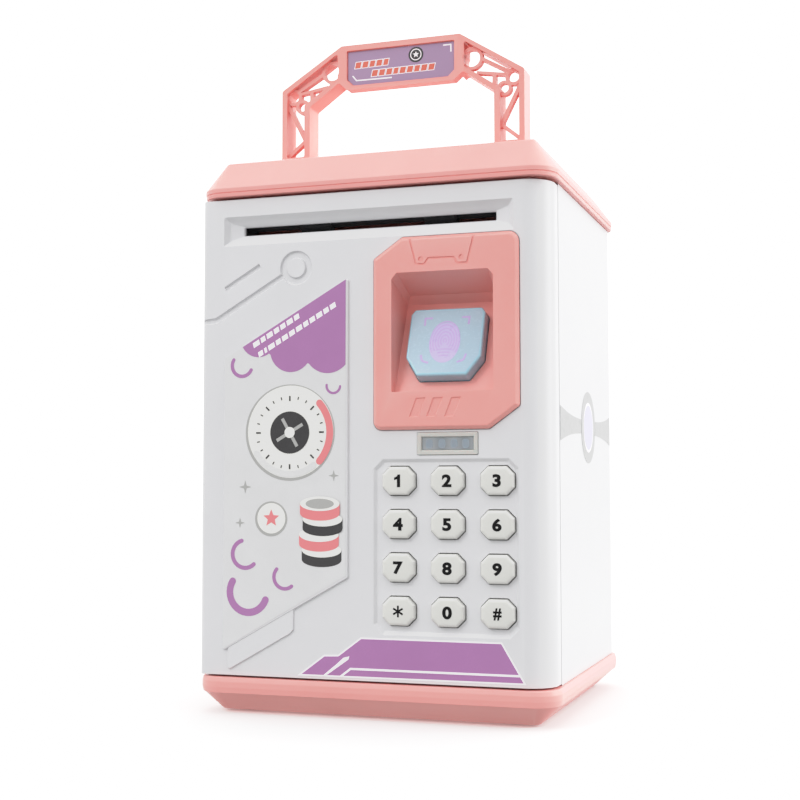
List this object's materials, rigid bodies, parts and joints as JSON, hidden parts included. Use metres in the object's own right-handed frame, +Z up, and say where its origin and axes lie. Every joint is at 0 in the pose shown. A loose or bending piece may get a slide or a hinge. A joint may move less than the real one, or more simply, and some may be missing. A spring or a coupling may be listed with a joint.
{
  "type": "toy safe coin bank",
  "caption": "Box-shaped toy money safe with a hinged front door, keypad, fingerprint pad, banknote feed slot and a folding carrying handle.",
  "frame": {"origin": "on the ground under the centre of the case", "axes": "+X to the right of someone facing the door, +Y to the back, +Z up"},
  "size_m": [0.135, 0.1242, 0.2537],
  "materials": {
    "pink_shell": "moulded, soft satin",
    "white_shell": "moulded, satin gloss",
    "keycap": "moulded, satin",
    "pad_blue": "milky translucent",
    "smoked_window": "translucent",
    "label_print": "printed film",
    "decal_grey": "printed film",
    "dark_rubber": "matt",
    "grey_plastic": "moulded",
    "board_green": "solder mask",
    "cell_wrap": "printed sleeve",
    "steel": "plated"
  },
  "bodies": {
    "case": {"base_tray": "pink_shell", "main_housing": "white_shell", "top_cap": "pink_shell", "foot_front_left": "dark_rubber", "foot_front_right": "dark_rubber", "foot_rear_left": "dark_rubber", "foot_rear_right": "dark_rubber", "base_screw_left": "steel", "base_screw_right": "steel", "handle_pin_left": "steel", "handle_pin_right": "steel", "door_hinge_pin_lower": "steel", "door_hinge_pin_upper": "steel", "side_decal_left": "decal_grey", "side_decal_right": "decal_grey"},
    "handle": {"handle": "pink_shell", "handle_label": "label_print"},
    "door": {"front_door": "white_shell", "door_label": "label_print", "door_decal": "label_print", "fingerprint_bezel": "pink_shell", "fingerprint_board": "board_green", "status_window": "smoked_window", "keypad_membrane": "grey_plastic", "main_board": "board_green", "door_inner_cover": "pink_shell", "door_cover_screw_upper_left": "steel", "door_cover_screw_upper_right": "steel", "door_cover_screw_lower_left": "steel", "door_cover_screw_lower_right": "steel", "speaker": "grey_plastic", "battery_1": "cell_wrap", "battery_2": "cell_wrap", "battery_3": "cell_wrap", "battery_contact_left": "steel", "battery_contact_right": "steel", "lock_solenoid": "grey_plastic", "roller_frame": "grey_plastic", "feed_motor": "steel"},
    "fingerprint_pad": {"fingerprint_pad": "pad_blue"},
    "lock_bolt": {"lock_bolt": "steel"},
    "battery_cover": {"battery_cover": "pink_shell"},
    "feed_rollers": {"feed_shaft": "steel", "feed_roller_left": "dark_rubber", "feed_roller_right": "dark_rubber", "feed_gear": "white_shell"},
    "idler_roller": {"idler_roller": "dark_rubber"},
    "motor_pinion": {"motor_pinion": "grey_plastic"},
    "key_1": {"key_1": "keycap"},
    "key_2": {"key_2": "keycap"},
    "key_3": {"key_3": "keycap"},
    "key_4": {"key_4": "keycap"},
    "key_5": {"key_5": "keycap"},
    "key_6": {"key_6": "keycap"},
    "key_7": {"key_7": "keycap"},
    "key_8": {"key_8": "keycap"},
    "key_9": {"key_9": "keycap"},
    "key_star": {"key_star": "keycap"},
    "key_0": {"key_0": "keycap"},
    "key_hash": {"key_hash": "keycap"}
  },
  "joints": [
    {"name": "door_hinge", "type": "hinge", "parent": "case", "child": "door", "pos_m": [0.0556, -0.0502, 0.1], "axis": [0, 0, 1], "range_deg": [0, 110]},
    {"name": "handle_fold", "type": "hinge", "parent": "case", "child": "handle", "pos_m": [0, -0.02075, 0.2086], "axis": [-1, 0, 0], "range_deg": [0, 90]},
    {"name": "fingerprint_press", "type": "slide", "parent": "door", "child": "fingerprint_pad", "axis": [0, 0.9298, -0.3679], "range_m": [0, 0.0012], "stiffness_N_per_m": 800},
    {"name": "lock_slide", "type": "slide", "parent": "door", "child": "lock_bolt", "axis": [-1, 0, 0], "range_m": [0, 0.0065]},
    {"name": "battery_cover_lift", "type": "slide", "parent": "door", "child": "battery_cover", "axis": [0, 1, 0], "range_m": [0, 0.03]},
    {"name": "feed_spin", "type": "hinge", "parent": "door", "child": "feed_rollers", "pos_m": [0, -0.0494, 0.17175], "axis": [1, 0, 0], "continuous": true},
    {"name": "idler_spin", "type": "hinge", "parent": "door", "child": "idler_roller", "pos_m": [0, -0.0494, 0.17905], "axis": [1, 0, 0], "continuous": true},
    {"name": "pinion_spin", "type": "hinge", "parent": "door", "child": "motor_pinion", "pos_m": [0, -0.0494, 0.16265], "axis": [1, 0, 0], "continuous": true},
    {"name": "key_1_press", "type": "slide", "parent": "door", "child": "key_1", "axis": [0, 1, 0], "range_m": [0, 0.0013], "stiffness_N_per_m": 500},
    {"name": "key_2_press", "type": "slide", "parent": "door", "child": "key_2", "axis": [0, 1, 0], "range_m": [0, 0.0013], "stiffness_N_per_m": 500},
    {"name": "key_3_press", "type": "slide", "parent": "door", "child": "key_3", "axis": [0, 1, 0], "range_m": [0, 0.0013], "stiffness_N_per_m": 500},
    {"name": "key_4_press", "type": "slide", "parent": "door", "child": "key_4", "axis": [0, 1, 0], "range_m": [0, 0.0013], "stiffness_N_per_m": 500},
    {"name": "key_5_press", "type": "slide", "parent": "door", "child": "key_5", "axis": [0, 1, 0], "range_m": [0, 0.0013], "stiffness_N_per_m": 500},
    {"name": "key_6_press", "type": "slide", "parent": "door", "child": "key_6", "axis": [0, 1, 0], "range_m": [0, 0.0013], "stiffness_N_per_m": 500},
    {"name": "key_7_press", "type": "slide", "parent": "door", "child": "key_7", "axis": [0, 1, 0], "range_m": [0, 0.0013], "stiffness_N_per_m": 500},
    {"name": "key_8_press", "type": "slide", "parent": "door", "child": "key_8", "axis": [0, 1, 0], "range_m": [0, 0.0013], "stiffness_N_per_m": 500},
    {"name": "key_9_press", "type": "slide", "parent": "door", "child": "key_9", "axis": [0, 1, 0], "range_m": [0, 0.0013], "stiffness_N_per_m": 500},
    {"name": "key_star_press", "type": "slide", "parent": "door", "child": "key_star", "axis": [0, 1, 0], "range_m": [0, 0.0013], "stiffness_N_per_m": 500},
    {"name": "key_0_press", "type": "slide", "parent": "door", "child": "key_0", "axis": [0, 1, 0], "range_m": [0, 0.0013], "stiffness_N_per_m": 500},
    {"name": "key_hash_press", "type": "slide", "parent": "door", "child": "key_hash", "axis": [0, 1, 0], "range_m": [0, 0.0013], "stiffness_N_per_m": 500}
  ],
  "couplings": [
    {"joint": "idler_spin", "follows": "feed_spin", "ratio": -1.3793},
    {"joint": "pinion_spin", "follows": "feed_spin", "ratio": -2}
  ]
}
